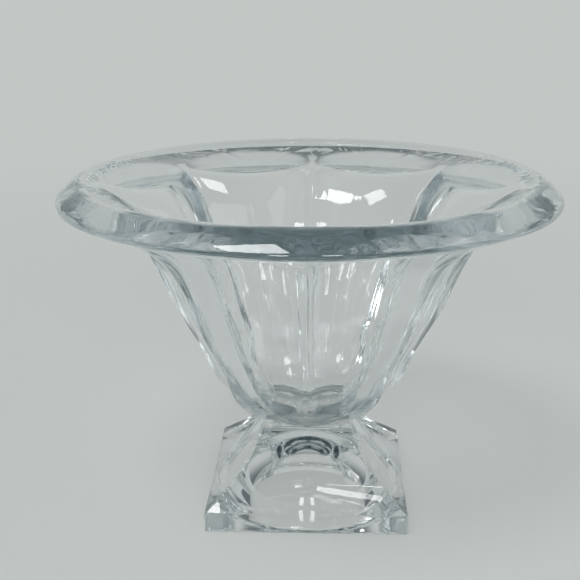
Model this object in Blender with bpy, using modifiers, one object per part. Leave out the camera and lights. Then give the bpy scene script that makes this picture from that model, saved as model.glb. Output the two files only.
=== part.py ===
"""Clear pressed glass holder for a votive candle: a panelled bowl with a rolled lip, on a square foot.

Blender 4.5, metres, +Z up. The origin is on the table under the middle of the foot, and -Y is the front.
The bowl has eight panels, each hollowed a little across, that end in rounded arches under the lip. The
foot is square, with a dished scoop in each side and a domed hollow underneath. A thin clear wafer joins
the two.
"""

from math import cos, hypot, pi, radians, sin, sqrt, tan

import bmesh
import bpy

# Foot
PLINTH_WIDTH = 0.0572
PLINTH_HEIGHT = 0.0057
SHOULDER_WIDTH = 0.0462
SHOULDER_HEIGHT = 0.0049
FOOT_HEIGHT = 0.0254
SEAT_WIDTH = 0.0262

# Scoop in each side of the foot: part of an ellipsoid, wider than the foot itself
SCOOP_HALF_LENGTH = 0.105
SCOOP_CENTRE_ABOVE_SEAT = 0.0056
SCOOP_DROP_BELOW_PLINTH_TOP = 0.0090
SCOOP_BITE_AT_SEAT = 0.0005
SCOOP_LEDGE = 0.0007

# Hollow under the foot
HOLLOW_RADIUS = 0.0255
HOLLOW_HEIGHT = 0.0178

# Joint between foot and bowl
WAFER_RADIUS = 0.0115
WAFER_THICKNESS = 0.0005
JOINT_GAP = 0.0003

# Bowl: its ridge line at the seat, hip, waist, chest and throat, each a height above the bowl's seat
BOWL_SEAT_RADIUS = 0.0130
BOWL_SEAT_SLOPE = 6
BASE_THICKNESS = 0.0044
FLOOR_RADIUS = 0.0050
HIP_RADIUS = 0.0262
HIP_HEIGHT = 0.0076
HIP_SLOPE = 46
HIP_WALL = 0.0044
WAIST_RADIUS = 0.0324
WAIST_HEIGHT = 0.0195
WAIST_SLOPE = 61
WAIST_WALL = 0.0036
CHEST_RADIUS = 0.0401
CHEST_HEIGHT = 0.0335
CHEST_SLOPE = 67
CHEST_WALL = 0.0044
THROAT_RADIUS = 0.0495
THROAT_HEIGHT = 0.0521
THROAT_SLOPE = 54
THROAT_WALL = 0.0052

# Lip: a crown, a face that falls outward from it, and a tight nose at the rim's edge
RIM_RADIUS = 0.0700
NOSE_HEIGHT = 0.06565
NOSE_ROUNDING = 0.0013
NOSE_TOP_SLOPE = 52
NOSE_UNDERSIDE_SLOPE = 18
CROWN_INSET = 0.0065
CROWN_ABOVE_NOSE = 0.00175
CROWN_ROUNDING = 0.0035
CROWN_INNER_SLOPE = 35
CROWN_OUTER_SLOPE = 33

# Panels: each is hollow across, deeper by FLUTE times the square of its half width, in metres, and its
# arch springs and ends at heights above the bowl's seat
PANELS = 8
RIDGE_WIDENING = 0.0002
FLUTE = 8.0
ARCH_SPRING = 0.0602
ARCH_TOP = 0.0634
ARCH_RUNOUT_SLOPE = 12

# Fineness of the faces
TURN_STEPS = 64
SPAN_POINTS = 4
CROWN_POINTS = 6
NOSE_POINTS = 6
ARCH_POINTS = 7
FLUTE_STEPS = 8
SCOOP_SEGMENTS = 112
SCOOP_RINGS = 64
HOLLOW_SEGMENTS = 48
HOLLOW_RINGS = 48

# What follows from them
GLASS = (0.90, 0.95, 0.94, 1.0)
BOWL_BASE = FOOT_HEIGHT + JOINT_GAP + WAFER_THICKNESS + JOINT_GAP
PANEL_RATIO = cos(pi / PANELS)
MERGE = 0.000001
CUTTER_REACH = 0.010


def clear_scene():
    for obj in list(bpy.data.objects):
        bpy.data.objects.remove(obj)


def new_collection(name):
    collection = bpy.data.collections.new(name)
    bpy.context.scene.collection.children.link(collection)
    return collection


def glass(name, tint):
    material = bpy.data.materials.new(name)
    material.use_nodes = True
    shader = material.node_tree.nodes["Principled BSDF"]
    shader.inputs["Base Color"].default_value = tint
    shader.inputs["Roughness"].default_value = 0.02
    shader.inputs["Metallic"].default_value = 0.0
    shader.inputs["IOR"].default_value = 1.5
    shader.inputs["Transmission Weight"].default_value = 1.0
    return material


def mesh_object(name, mesh, collection):
    obj = bpy.data.objects.new(name, mesh)
    collection.objects.link(obj)
    return obj


def turned(name, outline, steps, collection):
    """A solid turned round Z from (radius, height) points that start on the axis and run down outside."""
    mesh = bpy.data.meshes.new(name)
    points = [(radius, 0.0, height) for radius, height in outline]
    mesh.from_pydata(points, [(i, i + 1) for i in range(len(points) - 1)], [])
    obj = mesh_object(name, mesh, collection)
    screw = obj.modifiers.new("turn", "SCREW")
    screw.steps = screw.render_steps = steps
    screw.use_merge_vertices = True
    screw.merge_threshold = MERGE
    return obj


def cutter(obj):
    obj.hide_render = True
    obj.display_type = "WIRE"
    return obj


def cut(obj, tool):
    boolean = obj.modifiers.new("cut_" + tool.name, "BOOLEAN")
    boolean.operation = "DIFFERENCE"
    boolean.solver = "EXACT"
    boolean.object = tool


def finished(obj, material, sharp_angle):
    """The object with its modifiers applied, shaded smooth up to the given angle between faces."""
    graph = bpy.context.evaluated_depsgraph_get()
    mesh = bpy.data.meshes.new_from_object(obj.evaluated_get(graph))
    obj.modifiers.clear()
    obj.data = mesh
    mesh.materials.clear()
    mesh.materials.append(material)
    mesh.shade_smooth()
    mesh.set_sharp_from_angle(angle=radians(sharp_angle))
    return obj


def arc(centre, radius, start, end, points):
    """Points of a round stretch, from one angle to another in degrees."""
    angles = [radians(start + (end - start) * i / (points - 1)) for i in range(points)]
    return [(centre[0] + radius * cos(a), centre[1] + radius * sin(a)) for a in angles]


def flow(knots):
    """A smooth line through knots of radius, height and slope in degrees."""
    line = [knots[0][:2]]
    for (r0, z0, slope0), (r1, z1, slope1) in zip(knots, knots[1:]):
        reach = hypot(r1 - r0, z1 - z0)
        for i in range(1, SPAN_POINTS + 1):
            t = i / SPAN_POINTS
            ease, start, end = 3 * t**2 - 2 * t**3, t**3 - 2 * t**2 + t, t**3 - t**2
            a0, a1 = radians(slope0), radians(slope1)
            radius = r0 + (r1 - r0) * ease + reach * (start * cos(a0) + end * cos(a1))
            height = z0 + (z1 - z0) * ease + reach * (start * sin(a0) + end * sin(a1))
            line.append((radius, height))
    return line


def ridge_knots():
    """The bowl's outer line along a ridge: radius, height in the part's frame, slope and wall."""
    return [
        (BOWL_SEAT_RADIUS, BOWL_BASE, BOWL_SEAT_SLOPE, BASE_THICKNESS),
        (HIP_RADIUS, BOWL_BASE + HIP_HEIGHT, HIP_SLOPE, HIP_WALL),
        (WAIST_RADIUS, BOWL_BASE + WAIST_HEIGHT, WAIST_SLOPE, WAIST_WALL),
        (CHEST_RADIUS, BOWL_BASE + CHEST_HEIGHT, CHEST_SLOPE, CHEST_WALL),
        (THROAT_RADIUS, BOWL_BASE + THROAT_HEIGHT, THROAT_SLOPE, THROAT_WALL),
    ]


def lip():
    """From the inner side of the crown, over its face, and round the nose to the underside."""
    nose = (RIM_RADIUS - NOSE_ROUNDING, BOWL_BASE + NOSE_HEIGHT)
    crown = (RIM_RADIUS - CROWN_INSET, nose[1] + CROWN_ABOVE_NOSE)
    over = arc(crown, CROWN_ROUNDING, 90 + CROWN_INNER_SLOPE, 90 - CROWN_OUTER_SLOPE, CROWN_POINTS)
    under = arc(nose, NOSE_ROUNDING, 90 - NOSE_TOP_SLOPE, NOSE_UNDERSIDE_SLOPE - 90, NOSE_POINTS)
    face = flow([(*over[-1], -CROWN_OUTER_SLOPE), (*under[0], -NOSE_TOP_SLOPE)])
    return over + face[1:-1] + under


def outer_line():
    """The bowl's outer line along a ridge, from the seat up to the underside of the nose."""
    return flow([knot[:3] for knot in ridge_knots()] + [(*lip()[-1], NOSE_UNDERSIDE_SLOPE)])


def bowl_outline():
    edge = lip()
    floor = BOWL_BASE + BASE_THICKNESS
    inside = [(FLOOR_RADIUS, floor, 0)]
    for radius, height, slope, wall in ridge_knots()[1:]:
        face = radius * PANEL_RATIO
        inside.append((face - wall * sin(radians(slope)), height + wall * cos(radians(slope)), slope))
    inside.append((*edge[0], CROWN_INNER_SLOPE))
    return [(0.0, floor)] + flow(inside) + edge[1:] + outer_line()[-2::-1] + [(0.0, BOWL_BASE)]


def radius_on(line, height):
    """Radius of a rising line of points at a height."""
    for (r0, z0), (r1, z1) in zip(line, line[1:]):
        if height <= z1:
            return r0 + (r1 - r0) * (height - z0) / (z1 - z0)
    return line[-1][0]


def panel_line():
    """The middle of a panel's face from the seat to its arch's top: distance from the axis, and height."""
    line = outer_line()
    spring, top = BOWL_BASE + ARCH_SPRING, BOWL_BASE + ARCH_TOP
    heights = [height for _, height in line if height < spring]
    heights += [spring + (top - spring) * i / ARCH_POINTS for i in range(ARCH_POINTS + 1)]
    middle = []
    for height in heights:
        ridge = radius_on(line, height) + RIDGE_WIDENING
        rise = (max(0.0, height - spring) / (top - spring)) ** 2
        flat = ridge * (PANEL_RATIO + (1 - PANEL_RATIO) * rise)
        hollow = FLUTE * (ridge * sin(pi / PANELS)) ** 2 * (1 - rise)
        middle.append((flat - hollow, height))
    return middle


def panel_cutter_shape():
    """The space outside one panel: its hollowed face, closed above, below, beyond the rim and at its sides."""
    face = panel_line()
    beyond, below = RIM_RADIUS + CUTTER_REACH, BOWL_BASE - CUTTER_REACH
    far_height = face[-1][1] + (beyond - face[-1][0]) * tan(radians(ARCH_RUNOUT_SLOPE))
    half = RIM_RADIUS * sin(pi / PANELS)
    shape = bmesh.new()
    columns = []
    for step in range(FLUTE_STEPS + 1):
        across = half * (2 * step / FLUTE_STEPS - 1)
        column = [(distance + FLUTE * across**2, height) for distance, height in face]
        column = [(column[0][0], below)] + column + [(beyond, far_height), (beyond, below)]
        columns.append([shape.verts.new((distance, across, height)) for distance, height in column])
    for left, right in zip(columns, columns[1:]):
        for i in range(len(left)):
            shape.faces.new((left[i - 1], left[i], right[i], right[i - 1]))
    for side in (columns[0], columns[-1]):
        shape.faces.new(side)
    bmesh.ops.recalc_face_normals(shape, faces=shape.faces)
    mesh = bpy.data.meshes.new("panel_cutter")
    shape.to_mesh(mesh)
    shape.free()
    return mesh


def panel_cutters(collection):
    mesh = panel_cutter_shape()
    tools = []
    for number in range(PANELS):
        tool = cutter(mesh_object(f"panel_cutter_{number + 1}", mesh, collection))
        tool.rotation_euler.z = 2 * pi * (number + 0.5) / PANELS
        tools.append(tool)
    return tools


def ellipsoid(name, half_sizes, centre, segments, rings, collection):
    shape = bmesh.new()
    bmesh.ops.create_uvsphere(shape, u_segments=segments, v_segments=rings, radius=1.0)
    bmesh.ops.scale(shape, verts=shape.verts, vec=half_sizes)
    bmesh.ops.translate(shape, verts=shape.verts, vec=centre)
    mesh = bpy.data.meshes.new(name)
    shape.to_mesh(mesh)
    shape.free()
    return cutter(mesh_object(name, mesh, collection))


def scoop_cutters(collection):
    """Four dishes. Each grazes the seat's edge at its top, and the plinth's top edge at its bottom."""
    centre_height = FOOT_HEIGHT + SCOOP_CENTRE_ABOVE_SEAT
    over_plinth = centre_height - PLINTH_HEIGHT
    half_height = over_plinth + SCOOP_DROP_BELOW_PLINTH_TOP
    top_share = sqrt(1 - (SCOOP_CENTRE_ABOVE_SEAT / half_height) ** 2)
    bottom_share = sqrt(1 - (over_plinth / half_height) ** 2)
    top = SEAT_WIDTH / 2 - SCOOP_BITE_AT_SEAT
    bottom = PLINTH_WIDTH / 2 - SCOOP_LEDGE
    half_depth = (bottom - top) / (top_share - bottom_share)
    offset = top + half_depth * top_share
    half_sizes, centre = (half_depth, SCOOP_HALF_LENGTH, half_height), (offset, 0.0, centre_height)
    first = ellipsoid("scoop_cutter_1", half_sizes, centre, SCOOP_SEGMENTS, SCOOP_RINGS, collection)
    tools = [first]
    for number in range(1, 4):
        tool = cutter(mesh_object(f"scoop_cutter_{number + 1}", first.data, collection))
        tool.rotation_euler.z = number * pi / 2
        tools.append(tool)
    return tools


def hollow_cutter(collection):
    """A dome cut from below: the cap of a sphere, HOLLOW_RADIUS wide at the table."""
    radius = (HOLLOW_RADIUS**2 + HOLLOW_HEIGHT**2) / (2 * HOLLOW_HEIGHT)
    half_sizes, centre = (radius, radius, radius), (0.0, 0.0, HOLLOW_HEIGHT - radius)
    return ellipsoid("hollow_cutter", half_sizes, centre, HOLLOW_SEGMENTS, HOLLOW_RINGS, collection)


def make_bowl(parts, cutters):
    bowl = turned("bowl", bowl_outline(), TURN_STEPS, parts)
    for tool in panel_cutters(cutters):
        cut(bowl, tool)
    return finished(bowl, glass("bowl_glass", GLASS), 8)


def make_wafer(parts):
    base = FOOT_HEIGHT + JOINT_GAP
    top = base + WAFER_THICKNESS
    outline = [(0.0, top), (WAFER_RADIUS, top), (WAFER_RADIUS, base), (0.0, base)]
    wafer = turned("joining_wafer", outline, TURN_STEPS, parts)
    return finished(wafer, glass("wafer_glass", GLASS), 30)


def make_foot(parts, cutters):
    """A square turned shape: the corner radius is half the width times the root of two."""
    corner = sqrt(2) / 2
    shoulder_top = PLINTH_HEIGHT + SHOULDER_HEIGHT
    outline = [
        (0.0, FOOT_HEIGHT),
        (SHOULDER_WIDTH * corner, FOOT_HEIGHT),
        (SHOULDER_WIDTH * corner, shoulder_top),
        (PLINTH_WIDTH * corner, PLINTH_HEIGHT),
        (PLINTH_WIDTH * corner, 0.0),
        (0.0, 0.0),
    ]
    foot = turned("foot", outline, 4, parts)
    foot.rotation_euler.z = pi / 4
    bpy.context.view_layer.update()
    for tool in scoop_cutters(cutters) + [hollow_cutter(cutters)]:
        cut(foot, tool)
    return finished(foot, glass("foot_glass", GLASS), 10)


def main():
    clear_scene()
    parts = new_collection("votive_candle_holder")
    cutters = new_collection("cutters")
    make_foot(parts, cutters)
    make_wafer(parts)
    make_bowl(parts, cutters)


main()
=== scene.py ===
"""The pressed glass votive holder, dressed for its picture.

Metres, +Z up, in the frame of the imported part. The front of the holder faces -Y. Its bowl and its foot
are each one turned body, whose hollowed panels, square sides and scoops are cut by a Geometry Nodes tree.
"""

from functools import partial, reduce
from math import acos, cos, degrees, hypot, pi, radians, sin, sqrt

import bpy
from mathutils import Matrix, Quaternion, Vector


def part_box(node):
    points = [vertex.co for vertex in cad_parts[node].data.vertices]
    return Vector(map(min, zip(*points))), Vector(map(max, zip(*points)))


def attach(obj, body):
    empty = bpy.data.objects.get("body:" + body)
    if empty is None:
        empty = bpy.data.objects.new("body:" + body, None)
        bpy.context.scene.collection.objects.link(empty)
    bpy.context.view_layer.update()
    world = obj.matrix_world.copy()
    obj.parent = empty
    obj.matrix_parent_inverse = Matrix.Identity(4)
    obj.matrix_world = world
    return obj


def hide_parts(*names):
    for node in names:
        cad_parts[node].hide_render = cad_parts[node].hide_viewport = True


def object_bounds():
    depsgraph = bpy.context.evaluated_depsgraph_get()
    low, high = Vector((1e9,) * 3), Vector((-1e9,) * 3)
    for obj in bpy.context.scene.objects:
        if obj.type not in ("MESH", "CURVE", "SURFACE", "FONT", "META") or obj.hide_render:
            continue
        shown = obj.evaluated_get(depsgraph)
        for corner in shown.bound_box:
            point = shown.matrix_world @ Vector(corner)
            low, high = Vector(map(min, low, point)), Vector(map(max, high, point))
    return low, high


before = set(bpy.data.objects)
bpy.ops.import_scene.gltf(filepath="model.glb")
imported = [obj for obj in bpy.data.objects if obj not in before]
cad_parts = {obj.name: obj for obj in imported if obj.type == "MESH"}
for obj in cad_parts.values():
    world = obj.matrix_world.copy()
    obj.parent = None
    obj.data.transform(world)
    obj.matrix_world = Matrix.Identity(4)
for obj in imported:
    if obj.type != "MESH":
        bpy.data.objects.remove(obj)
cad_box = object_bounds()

# Sizes of the foot
PLINTH_HALF = 0.0286
PLINTH_HEIGHT = 0.0057
SHOULDER_HALF = 0.0231
SHOULDER_TOP = 0.0106
SEAT_HALF = 0.0131
SEAT_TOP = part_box("foot")[1].z
SCOOP_HALF_LENGTH = 0.105
SCOOP_CENTRE = SEAT_TOP + 0.0056
SCOOP_BOTTOM = PLINTH_HEIGHT - 0.0090
SCOOP_BITE = 0.0005
SCOOP_LEDGE = 0.0007
HOLLOW_RADIUS = 0.0255
HOLLOW_HEIGHT = 0.0178
HOLLOW_EDGE = 0.0003
EDGE_ROUNDING = 0.0004

# Sizes of the bowl: its ridge line, its lip and its panels
BOWL_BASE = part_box("bowl")[0].z
FLOOR_ABOVE_BASE = 0.0044
FLOOR_RADIUS = 0.0050
SEAT_RADIUS = 0.0130
RIM_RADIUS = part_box("bowl")[1].x
NOSE_ROUNDING = 0.0013
NOSE = (RIM_RADIUS - NOSE_ROUNDING, BOWL_BASE + 0.06565)
NOSE_TOP_SLOPE = 52
NOSE_UNDERSIDE_SLOPE = 18
CROWN_ROUNDING = 0.0035
CROWN = (RIM_RADIUS - 0.0065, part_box("bowl")[1].z - CROWN_ROUNDING)
CROWN_INNER_SLOPE = 35
CROWN_OUTER_SLOPE = 33
PANELS = 8
FLUTE = 8.0
ARCH_SPRING = BOWL_BASE + 0.0602
ARCH_TOP = BOWL_BASE + 0.0634
RIDGE_WIDENING = 0.0002
RIDGE_ROUNDING = 0.0004

# Radius, height above the base, slope in degrees and thickness of the wall
RIDGE_LINE = [
    (SEAT_RADIUS, 0.0, 6, FLOOR_ABOVE_BASE),
    (0.0262, 0.0076, 46, 0.0044),
    (0.0324, 0.0195, 61, 0.0036),
    (0.0401, 0.0335, 67, 0.0044),
    (0.0495, 0.0521, 54, 0.0052),
]

# Fused layer between bowl and foot
FUSED_RADIUS = 0.0120
FUSED_GAP = 0.00002

# Share of its thickness by which its edge is drawn in, and how upright the normals of its flat faces are
WAIST_SHARE = 0.25
LEVEL_NORMAL = 0.9

# Glass: how much it bends light, and the colour that light takes on its way through
GLASS_IOR = 1.5
TINT = (0.48, 0.585, 0.62, 1.0)
TINT_DENSITY = 11.5

# Colours of the backdrop, of the dim part of the mirrored room and of the floor where it shows shade
PALE = (0.54, 0.57, 0.555, 1.0)
DIM = (0.135, 0.155, 0.165, 1.0)
LIT_FLOOR = (0.62, 0.65, 0.64, 1.0)

# How far a direction leans to the back where the mirrored room begins to be pale, and where it is all pale
BEHIND = (0.12, 0.78)

# Distances where the floor begins to lose its shade and has lost it, and its plain share before that
FLOOR_FADE = (0.08, 0.70, 0.62)
FLOOR_ROUGHNESS = 0.8
FLOOR_HALF = 4.0
FLOOR_GAP = 0.0002

# Faint ripple all over the glass
RIPPLE_FINENESS = 90.0
RIPPLE_DEPTH = 0.00001
RIPPLE_DETAIL = 1.0

# Marks of the press in the glass: name, fineness and depth
BOWL_MARKS = [("floor_marks", 300.0, 0.00006), ("lip_marks", 65.0, 0.0005)]
FOOT_MARKS = [("seat_marks", 300.0, 0.00004)]
MARK_DETAIL = 2.0
MARK_SWIRL = 2.0

# Marks of the plunger, which run up and down the inner side
DRAW_FINENESS = 22.0
DRAW_DEPTH = 0.00012
DRAW_DETAIL = 1.0
DRAW_RISE = 1.2

# Where the marks begin and where they are full: heights above the bowl's base, radii under the lip
# and depths below the foot's seat
FLOOR_MARKS_RANGE = (0.020, 0.012)
DRAW_MARKS_LOW_END = (0.008, 0.016)
DRAW_MARKS_HIGH_END = (0.062, 0.052)
LIP_MARKS_RANGE = (0.061, 0.066)
SEAT_MARKS_RANGE = (0.0040, 0.0005)

# Lamps: place, size, power and turn in their own plane
LAMPS = {
    "ceiling": ((-0.70, -0.95, 2.20), (0.85, 0.80), 26.0, 45.0),
    "wall_right": ((2.60, -0.30, 1.70), (2.00, 1.50), 12.0, 0.0),
    "window_left": ((-0.50, -2.50, 0.95), (0.35, 1.10), 12.0, 0.0),
    "window_right": ((0.50, -2.50, 0.95), (0.35, 1.10), 12.0, 0.0),
}

# Fineness of the meshes: points along the parts of an outline, and steps round the axis
CROWN_POINTS = 14
FACE_POINTS = 8
NOSE_POINTS = 16
INNER_SPAN_POINTS = 12
OUTER_SPAN_POINTS = 32
EDGE_POINTS = 4
SCOOP_ROWS = 70
DOME_ROWS = 30
BOWL_STEPS = 368
FOOT_STEPS = 480
WAFER_STEPS = 96
MERGE = 0.000001

# Distance of a face that cuts nothing
BEYOND = 1.0

# Camera: its picture's width and its focal length in pixels, its place, and its turns in radians
PICTURE = 580
FOCAL_PIXELS = 1028.955
SENSOR_WIDTH = 36.0
CLIP_START = 0.01
CAMERA_PLACE = Vector((0.00642, -0.28549, 0.15192))
CAMERA_YAW, CAMERA_PITCH, CAMERA_ROLL = -0.0412, 0.3017, -0.0044

# Bounces of light: in all and through glass, in mirrors, and straight through the fused contact
GLASS_BOUNCES = 64
MIRROR_BOUNCES = 48
CONTACT_BOUNCES = 16


def eased_share(value, at_none, at_full):
    """0 where the value is at_none and 1 where it is at_full, eased between them."""
    t = min(1.0, max(0.0, (value - at_none) / (at_full - at_none)))
    return t * t * (3 - 2 * t)


def link(obj):
    bpy.context.scene.collection.objects.link(obj)
    return obj


def arc(centre, radius, start, end, points):
    """Points of a round stretch, which starts and ends at these angles in degrees."""
    angles = [radians(start + (end - start) * i / (points - 1)) for i in range(points)]
    return [(centre[0] + radius * cos(a), centre[1] + radius * sin(a)) for a in angles]


def flow(knots, span_points):
    """A smooth line through knots of radius, height and slope in degrees."""
    line = [knots[0][:2]]
    for (r0, z0, slope0), (r1, z1, slope1) in zip(knots, knots[1:]):
        reach = hypot(r1 - r0, z1 - z0)
        a0, a1 = radians(slope0), radians(slope1)
        for i in range(1, span_points + 1):
            t = i / span_points
            ease, start, end = 3 * t**2 - 2 * t**3, t**3 - 2 * t**2 + t, t**3 - t**2
            radius = r0 + (r1 - r0) * ease + reach * (start * cos(a0) + end * cos(a1))
            height = z0 + (z1 - z0) * ease + reach * (start * sin(a0) + end * sin(a1))
            line.append((radius, height))
    return line


def turned_rows(name, rows, steps):
    """A line of rows turned round Z. Each row is a dict of radius, height and its own named values."""
    mesh = bpy.data.meshes.new(name)
    points = [(row["radius"], 0.0, row["height"]) for row in rows]
    mesh.from_pydata(points, [(i, i + 1) for i in range(len(points) - 1)], [])
    for key in sorted(set(rows[0]) - {"radius", "height"}):
        layer = mesh.attributes.new(key, "FLOAT", "POINT")
        layer.data.foreach_set("value", [row[key] for row in rows])
    obj = link(bpy.data.objects.new(name, mesh))
    screw = obj.modifiers.new("turn", "SCREW")
    screw.steps = screw.render_steps = steps
    screw.use_merge_vertices = True
    screw.merge_threshold = MERGE
    return obj


def calculation(tree, kind, operation, *values):
    """A node that works on its values, each of which is a number, a tuple or another node's output."""
    node = tree.nodes.new(kind)
    node.operation = operation
    for socket, value in zip(node.inputs, values):
        if isinstance(value, (int, float, tuple)):
            socket.default_value = value
        else:
            tree.links.new(value, socket)
    return node


def number(tree, operation, *values):
    """The output of a Math node."""
    return calculation(tree, "ShaderNodeMath", operation, *values).outputs["Value"]


def vector(tree, operation, *values):
    """The output of a Vector Math node."""
    return calculation(tree, "ShaderNodeVectorMath", operation, *values).outputs["Vector"]


def trim_tree():
    """A tree that brings each point in to the nearest of some upright faces, which may be dished."""
    tree = bpy.data.node_groups.new("trim_to_faces", "GeometryNodeTree")
    sockets = [
        ("Geometry", "NodeSocketGeometry", None),
        ("Faces", "NodeSocketInt", PANELS),
        ("Turn", "NodeSocketFloat", 0.0),
        ("Distance Name", "NodeSocketString", "panel"),
        ("Dish Name", "NodeSocketString", "dish"),
        ("Rounding", "NodeSocketFloat", EDGE_ROUNDING),
        ("Glass", "NodeSocketMaterial", None),
        ("Contact", "NodeSocketMaterial", None),
        ("Contact Height", "NodeSocketFloat", 0.0),
        ("Contact Radius", "NodeSocketFloat", FUSED_RADIUS),
    ]
    for name, kind, value in sockets:
        socket = tree.interface.new_socket(name, in_out="INPUT", socket_type=kind)
        if value is not None:
            socket.default_value = value
    tree.interface.new_socket("Geometry", in_out="OUTPUT", socket_type="NodeSocketGeometry")
    add, link_to = tree.nodes.new, tree.links.new
    maths = partial(number, tree)
    given = add("NodeGroupInput").outputs

    def named(name):
        node = add("GeometryNodeInputNamedAttribute")
        node.data_type = "FLOAT"
        link_to(given[name], node.inputs["Name"])
        return node.outputs["Attribute"]

    split = add("ShaderNodeSeparateXYZ")
    link_to(add("GeometryNodeInputPosition").outputs["Position"], split.inputs[0])
    x, y, z = split.outputs
    radius = maths("SQRT", maths("ADD", maths("MULTIPLY", x, x), maths("MULTIPLY", y, y)))
    sector = maths("DIVIDE", 2 * pi, given["Faces"])
    turns = maths("ADD", maths("DIVIDE", maths("ARCTAN2", y, x), sector), given["Turn"])
    angle = maths("MULTIPLY", maths("SUBTRACT", maths("FRACT", turns), 0.5), sector)
    across, along = maths("COSINE", angle), maths("SINE", angle)
    distance, dish = named("Distance Name"), named("Dish Name")
    bend = maths("MULTIPLY", maths("MULTIPLY", distance, dish), maths("MULTIPLY", along, along))
    under_root = maths("SUBTRACT", maths("MULTIPLY", across, across), maths("MULTIPLY", bend, 4.0))
    root = maths("SQRT", maths("MAXIMUM", under_root, 0.0))
    limit = maths("DIVIDE", maths("MULTIPLY", distance, 2.0), maths("ADD", across, root))
    trimmed = maths("SMOOTH_MIN", radius, limit, given["Rounding"])
    scale = maths("DIVIDE", trimmed, maths("MAXIMUM", radius, MERGE))
    joined = add("ShaderNodeCombineXYZ")
    link_to(maths("MULTIPLY", x, scale), joined.inputs[0])
    link_to(maths("MULTIPLY", y, scale), joined.inputs[1])
    link_to(z, joined.inputs[2])
    place = add("GeometryNodeSetPosition")
    link_to(given["Geometry"], place.inputs["Geometry"])
    link_to(joined.outputs[0], place.inputs["Position"])

    level = maths("COMPARE", z, given["Contact Height"], FUSED_GAP / 2)
    touching = maths("MULTIPLY", level, maths("LESS_THAN", radius, given["Contact Radius"]))
    realize = add("GeometryNodeRealizeInstances")
    link_to(place.outputs["Geometry"], realize.inputs["Geometry"])
    finished = realize.outputs["Geometry"]
    for name, chosen in (("Glass", None), ("Contact", touching)):
        paint = add("GeometryNodeSetMaterial")
        link_to(finished, paint.inputs["Geometry"])
        link_to(given[name], paint.inputs["Material"])
        if chosen:
            link_to(chosen, paint.inputs["Selection"])
        finished = paint.outputs["Geometry"]
    link_to(finished, add("NodeGroupOutput").inputs["Geometry"])
    return tree


def trim(obj, tree, **values):
    """Puts the tree on a turned body. The values are its inputs, by their names in small letters."""
    modifier = obj.modifiers.new("trim", "NODES")
    modifier.node_group = tree
    for item in tree.interface.items_tree:
        key = item.name.lower().replace(" ", "_")
        if item.in_out == "INPUT" and key in values:
            modifier[item.identifier] = values[key]


def plain_mesh(obj):
    """Bakes the modifiers into a smooth mesh."""
    graph = bpy.context.evaluated_depsgraph_get()
    mesh = bpy.data.meshes.new_from_object(obj.evaluated_get(graph))
    obj.modifiers.clear()
    obj.data = mesh
    mesh.shade_smooth()
    return obj


def new_material(name):
    material = bpy.data.materials.new(name)
    material.use_nodes = True
    return material, material.node_tree


def highest(tree, values):
    return reduce(partial(number, tree, "MAXIMUM"), values)


def eased(tree, value, at_none, at_full, least=0.0):
    """least where the value is at_none and 1 where it is at_full, eased between them."""
    ramp = tree.nodes.new("ShaderNodeMapRange")
    ramp.interpolation_type = "SMOOTHSTEP"
    ramp.inputs["To Min"].default_value = least
    ramp.inputs["From Min"].default_value = at_none
    ramp.inputs["From Max"].default_value = at_full
    tree.links.new(value, ramp.inputs["Value"])
    return ramp.outputs["Result"]


def cloud(tree, where, fineness, detail, swirl=0.0):
    noise = tree.nodes.new("ShaderNodeTexNoise")
    noise.inputs["Scale"].default_value = fineness
    noise.inputs["Detail"].default_value = detail
    noise.inputs["Distortion"].default_value = swirl
    tree.links.new(where, noise.inputs["Vector"])
    return noise.outputs["Fac"]


def around_axis(tree, where):
    """The direction from the axis and a little of the height, so that a pattern in it runs up and down."""
    direction = vector(tree, "NORMALIZE", vector(tree, "MULTIPLY", where, (1.0, 1.0, 0.0)))
    return vector(tree, "ADD", direction, vector(tree, "MULTIPLY", where, (0.0, 0.0, DRAW_RISE)))


def add_tint(tree):
    absorption = tree.nodes.new("ShaderNodeVolumeAbsorption")
    absorption.inputs["Color"].default_value = TINT
    absorption.inputs["Density"].default_value = TINT_DENSITY
    tree.links.new(absorption.outputs[0], tree.nodes["Material Output"].inputs["Volume"])


def glass(name, marks=(), drawn=False):
    """Clear glass. The press left a faint ripple all over it, and stronger marks where the mesh has them."""
    material, tree = new_material(name)
    shader = tree.nodes["Principled BSDF"]
    shader.inputs["Base Color"].default_value = (1.0, 1.0, 1.0, 1.0)
    shader.inputs["Roughness"].default_value = 0.0
    shader.inputs["IOR"].default_value = GLASS_IOR
    shader.inputs["Transmission Weight"].default_value = 1.0
    add_tint(tree)
    where = tree.nodes.new("ShaderNodeTexCoord").outputs["Object"]
    relief = number(tree, "MULTIPLY", cloud(tree, where, RIPPLE_FINENESS, RIPPLE_DETAIL), RIPPLE_DEPTH)
    fields = [(mark, cloud(tree, where, fineness, MARK_DETAIL, MARK_SWIRL), depth)
              for mark, fineness, depth in marks]
    if drawn:
        streaks = cloud(tree, around_axis(tree, where), DRAW_FINENESS, DRAW_DETAIL)
        fields.append(("draw_marks", streaks, DRAW_DEPTH))
    for mark, field, depth in fields:
        share = tree.nodes.new("ShaderNodeAttribute")
        share.attribute_name = mark
        marked = number(tree, "MULTIPLY", field, share.outputs["Fac"])
        relief = number(tree, "ADD", relief, number(tree, "MULTIPLY", marked, depth))
    bump = tree.nodes.new("ShaderNodeBump")
    bump.inputs["Strength"].default_value = 1.0
    bump.inputs["Distance"].default_value = 1.0
    tree.links.new(relief, bump.inputs["Height"])
    tree.links.new(bump.outputs["Normal"], shader.inputs["Normal"])
    return material


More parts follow.
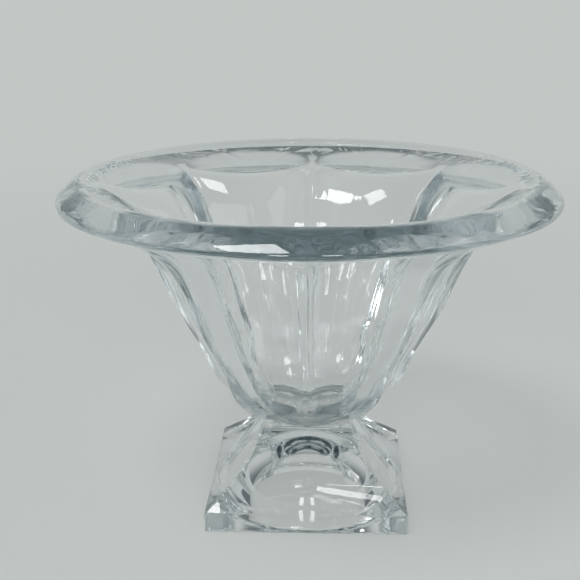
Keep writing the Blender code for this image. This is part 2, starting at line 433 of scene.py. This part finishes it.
def fused_contact():
    """Where glass is fused to glass there is nothing to see but its tint."""
    material, tree = new_material("fused_contact")
    tree.nodes.remove(tree.nodes["Principled BSDF"])
    clear = tree.nodes.new("ShaderNodeBsdfTransparent")
    tree.links.new(clear.outputs[0], tree.nodes["Material Output"].inputs["Surface"])
    add_tint(tree)
    return material


def ridge_knots():
    return [(radius, BOWL_BASE + height, slope, wall) for radius, height, slope, wall in RIDGE_LINE]


def lip():
    """From the inner side of the crown over its face and round the nose."""
    crown = arc(CROWN, CROWN_ROUNDING, 90 + CROWN_INNER_SLOPE, 90 - CROWN_OUTER_SLOPE, CROWN_POINTS)
    nose = arc(NOSE, NOSE_ROUNDING, 90 - NOSE_TOP_SLOPE, NOSE_UNDERSIDE_SLOPE - 90, NOSE_POINTS)
    face = flow([(*crown[-1], -CROWN_OUTER_SLOPE), (*nose[0], -NOSE_TOP_SLOPE)], FACE_POINTS)
    return crown + face[1:-1] + nose


def outer_line():
    """The ridge line from the seat to the underside of the nose."""
    knots = [knot[:3] for knot in ridge_knots()]
    return flow(knots + [(*lip()[-1], NOSE_UNDERSIDE_SLOPE)], OUTER_SPAN_POINTS)


def inner_line():
    """From the floor up the smooth inner side to the crown."""
    knots = [(FLOOR_RADIUS, BOWL_BASE + FLOOR_ABOVE_BASE, 0)]
    for radius, height, slope, wall in ridge_knots()[1:]:
        face = radius * cos(pi / PANELS)
        knots.append((face - wall * sin(radians(slope)), height + wall * cos(radians(slope)), slope))
    return flow(knots + [(*lip()[0], CROWN_INNER_SLOPE)], INNER_SPAN_POINTS)


def panel_distance(radius, height):
    """How far the middle of a panel's face is from the axis, where the ridge has this radius and height."""
    ridge = radius + RIDGE_WIDENING
    rise = (max(0.0, height - ARCH_SPRING) / (ARCH_TOP - ARCH_SPRING)) ** 2
    flat = cos(pi / PANELS) + (1 - cos(pi / PANELS)) * rise
    return ridge * flat - FLUTE * (ridge * sin(pi / PANELS)) ** 2 * max(0.0, 1 - rise)


def bowl_rows():
    """Rows from the middle of the floor, up the inner side, over the lip and down the ridges to the base."""
    def row(radius, height, panel=BEYOND, lip_marks=0.0, draw_marks=0.0):
        return {"radius": radius, "height": height, "panel": panel, "dish": FLUTE,
                "floor_marks": eased_share(height - BOWL_BASE, *FLOOR_MARKS_RANGE),
                "lip_marks": lip_marks, "draw_marks": draw_marks}

    rows = [row(0.0, BOWL_BASE + FLOOR_ABOVE_BASE)]
    for radius, height in inner_line():
        above = height - BOWL_BASE
        drawn = eased_share(above, *DRAW_MARKS_LOW_END) * eased_share(above, *DRAW_MARKS_HIGH_END)
        rows.append(row(radius, height, draw_marks=drawn))
    rows += [row(*point) for point in lip()[1:]]
    for radius, height in outer_line()[-2::-1]:
        swirled = eased_share(radius, *LIP_MARKS_RANGE)
        rows.append(row(radius, height, panel_distance(radius, height), swirled))
    return rows + [row(FUSED_RADIUS, BOWL_BASE), row(0.0, BOWL_BASE)]


def make_bowl(tree, contact):
    bowl = turned_rows("glass_bowl", bowl_rows(), BOWL_STEPS)
    trim(bowl, tree, faces=PANELS, turn=0.0, distance_name="panel", dish_name="dish",
         rounding=RIDGE_ROUNDING, glass=glass("bowl_glass", BOWL_MARKS, drawn=True),
         contact=contact, contact_height=BOWL_BASE)
    return plain_mesh(bowl)


def scoop_at(height):
    """Distance of the scoop's face from the axis in the middle of a side, and how much it dishes."""
    if height < PLINTH_HEIGHT - EDGE_ROUNDING:
        return BEYOND, 0.0
    half_height = SCOOP_CENTRE - SCOOP_BOTTOM

    def share(level):
        return sqrt(1 - ((SCOOP_CENTRE - level) / half_height) ** 2)

    top, bottom = SEAT_HALF - SCOOP_BITE, PLINTH_HALF - SCOOP_LEDGE
    half_depth = (bottom - top) / (share(SEAT_TOP) - share(PLINTH_HEIGHT))
    centre = top + half_depth * share(SEAT_TOP)
    here = share(height)
    return centre - half_depth * here, half_depth / (2 * here * SCOOP_HALF_LENGTH**2)


def square_at(height):
    """Half the width of the plinth, of the shoulder or of the block above it at a height."""
    if height <= PLINTH_HEIGHT:
        return PLINTH_HALF
    share = (height - PLINTH_HEIGHT) / (SHOULDER_TOP - PLINTH_HEIGHT)
    return max(SHOULDER_HALF, PLINTH_HALF + (SHOULDER_HALF - PLINTH_HALF) * share)


def foot_rows():
    """Rows from the middle of the seat, over its edge, down the sides, and up into the hollow."""
    def row(radius, height, square=BEYOND, scoop=BEYOND, dish=0.0):
        return {"radius": radius, "height": height, "square": square, "scoop": scoop, "dish": dish,
                "flat": 0.0, "seat_marks": eased_share(SEAT_TOP - height, *SEAT_MARKS_RANGE)}

    wide = 2 * PLINTH_HALF
    below_edge = SEAT_TOP - EDGE_ROUNDING
    rows = [row(0.0, SEAT_TOP), row(FUSED_RADIUS, SEAT_TOP)]
    for inset, height in arc((EDGE_ROUNDING, below_edge), EDGE_ROUNDING, 90, 180, EDGE_POINTS)[:-1]:
        scoop, dish = scoop_at(height)
        rows.append(row(wide, height, BEYOND, scoop - inset, dish))
    for i in range(SCOOP_ROWS + 1):
        height = below_edge + (PLINTH_HEIGHT - below_edge) * i / SCOOP_ROWS
        rows.append(row(wide, height, square_at(height), *scoop_at(height)))
    for height in (PLINTH_HEIGHT - EDGE_ROUNDING - FUSED_GAP, PLINTH_HEIGHT / 2, EDGE_ROUNDING):
        rows.append(row(wide, height, PLINTH_HALF))
    for inset, height in arc((EDGE_ROUNDING, EDGE_ROUNDING), EDGE_ROUNDING, 180, 270, EDGE_POINTS)[1:]:
        rows.append(row(wide, height, PLINTH_HALF - inset))
    rows.append(row(HOLLOW_RADIUS + HOLLOW_EDGE, 0.0))
    sphere = (HOLLOW_RADIUS**2 + HOLLOW_HEIGHT**2) / (2 * HOLLOW_HEIGHT)
    half = degrees(acos((sphere - HOLLOW_HEIGHT) / sphere))
    dome = arc((0.0, HOLLOW_HEIGHT - sphere), sphere, 90 - half, 90, DOME_ROWS)
    return rows + [row(*point) for point in dome[:-1]] + [row(0.0, HOLLOW_HEIGHT)]


def make_foot(tree, contact):
    foot = turned_rows("glass_foot", foot_rows(), FOOT_STEPS)
    material = glass("foot_glass", FOOT_MARKS)
    for distance, dish in (("square", "flat"), ("scoop", "dish")):
        trim(foot, tree, faces=4, turn=0.5, distance_name=distance, dish_name=dish,
             rounding=EDGE_ROUNDING, glass=material, contact=contact, contact_height=SEAT_TOP)
    return plain_mesh(foot)


def make_wafer(contact):
    """The fused layer: only its edge is glass that meets air."""
    low, high = SEAT_TOP + FUSED_GAP, BOWL_BASE - FUSED_GAP
    waist = (FUSED_RADIUS - WAIST_SHARE * (high - low), (low + high) / 2)
    outline = [(0.0, high), (FUSED_RADIUS, high), waist, (FUSED_RADIUS, low), (0.0, low)]
    wafer = turned_rows("fused_wafer", [{"radius": r, "height": z} for r, z in outline], WAFER_STEPS)
    plain_mesh(wafer)
    wafer.data.materials.append(glass("wafer_glass"))
    wafer.data.materials.append(contact)
    for face in wafer.data.polygons:
        face.material_index = int(abs(face.normal.z) > LEVEL_NORMAL)
    return wafer


def floor_material():
    """Seen by eye, mirror or glass it is partly its own pale colour, and wholly so away from the holder,
    where it becomes the backdrop. Near the holder it keeps the shadow."""
    material, tree = new_material("pale_floor")
    shader = tree.nodes["Principled BSDF"]
    shader.inputs["Base Color"].default_value = LIT_FLOOR
    shader.inputs["Roughness"].default_value = FLOOR_ROUGHNESS
    pale = tree.nodes.new("ShaderNodeEmission")
    pale.inputs["Color"].default_value = PALE
    path = tree.nodes.new("ShaderNodeLightPath").outputs
    seen = highest(tree, [path[f"Is {kind} Ray"] for kind in ("Camera", "Glossy", "Transmission")])
    where = tree.nodes.new("ShaderNodeTexCoord").outputs["Object"]
    distance = calculation(tree, "ShaderNodeVectorMath", "LENGTH", where).outputs["Value"]
    mix = tree.nodes.new("ShaderNodeMixShader")
    tree.links.new(number(tree, "MULTIPLY", seen, eased(tree, distance, *FLOOR_FADE)), mix.inputs["Fac"])
    tree.links.new(shader.outputs[0], mix.inputs[1])
    tree.links.new(pale.outputs[0], mix.inputs[2])
    tree.links.new(mix.outputs[0], tree.nodes["Material Output"].inputs["Surface"])
    return material


def make_floor():
    mesh = bpy.data.meshes.new("floor")
    level = cad_box[0].z - FLOOR_GAP
    corners = [(-1, -1), (1, -1), (1, 1), (-1, 1)]
    mesh.from_pydata([(x * FLOOR_HALF, y * FLOOR_HALF, level) for x, y in corners], [], [(0, 1, 2, 3)])
    mesh.materials.append(floor_material())
    link(bpy.data.objects.new("floor", mesh))


def make_world():
    """A pale backdrop, also where it is seen straight through the glass. What the glass mirrors, inside or
    outside, is a room: pale behind the holder, dim above it and in front."""
    world = bpy.data.worlds.new("studio")
    bpy.context.scene.world = world
    world.use_nodes = True
    tree = world.node_tree
    split = tree.nodes.new("ShaderNodeSeparateXYZ")
    tree.links.new(tree.nodes.new("ShaderNodeTexCoord").outputs["Generated"], split.inputs[0])
    behind = eased(tree, split.outputs["Y"], *BEHIND)
    path = tree.nodes.new("ShaderNodeLightPath").outputs
    unmirrored = number(tree, "LESS_THAN", path["Glossy Depth"], 0.5)
    through = number(tree, "MULTIPLY", path["Is Transmission Ray"], unmirrored)
    mix = tree.nodes.new("ShaderNodeMix")
    mix.data_type = "RGBA"
    dim, pale = [socket for socket in mix.inputs if socket.type == "RGBA"]
    dim.default_value = DIM
    pale.default_value = PALE
    tree.links.new(highest(tree, [behind, path["Is Camera Ray"], through]), mix.inputs["Factor"])
    mixed = [socket for socket in mix.outputs if socket.type == "RGBA"][0]
    tree.links.new(mixed, tree.nodes["Background"].inputs["Color"])


def make_lamps():
    """Flat lamps that face the base of the bowl."""
    for name, (place, size, power, turn) in LAMPS.items():
        data = bpy.data.lights.new(name, "AREA")
        data.shape = "RECTANGLE"
        data.size, data.size_y = size
        data.energy = power
        obj = link(bpy.data.objects.new(name, data))
        obj.location = place
        obj.rotation_mode = "QUATERNION"
        facing = (Vector(place) - Vector((0.0, 0.0, BOWL_BASE))).to_track_quat("Z", "Y")
        obj.rotation_quaternion = facing @ Quaternion((0.0, 0.0, 1.0), radians(turn))
        obj.visible_camera = False


def make_camera():
    level = Vector((cos(CAMERA_YAW), -sin(CAMERA_YAW), 0.0))
    ahead = Vector((sin(CAMERA_YAW), cos(CAMERA_YAW), 0.0))
    forward = ahead * cos(CAMERA_PITCH) - Vector((0.0, 0.0, sin(CAMERA_PITCH)))
    upright = level.cross(forward)
    right = level * cos(CAMERA_ROLL) + upright * sin(CAMERA_ROLL)
    up = upright * cos(CAMERA_ROLL) - level * sin(CAMERA_ROLL)
    data = bpy.data.cameras.new("camera")
    data.sensor_width = SENSOR_WIDTH
    data.lens = SENSOR_WIDTH * FOCAL_PIXELS / PICTURE
    data.clip_start = CLIP_START
    camera = link(bpy.data.objects.new("camera", data))
    turn = Matrix((right, up, -forward)).transposed().to_4x4()
    camera.matrix_world = Matrix.Translation(CAMERA_PLACE) @ turn
    bpy.context.scene.camera = camera


def dress(piece, node):
    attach(piece, "root")
    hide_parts(node)


def main():
    tree = trim_tree()
    contact = fused_contact()
    dress(make_bowl(tree, contact), "bowl")
    dress(make_foot(tree, contact), "foot")
    dress(make_wafer(contact), "joining_wafer")
    make_floor()
    make_world()
    make_lamps()
    make_camera()
    scene = bpy.context.scene
    scene.view_settings.view_transform = "Standard"
    scene.cycles.max_bounces = GLASS_BOUNCES
    scene.cycles.transmission_bounces = GLASS_BOUNCES
    scene.cycles.glossy_bounces = MIRROR_BOUNCES
    scene.cycles.transparent_max_bounces = CONTACT_BOUNCES


main()
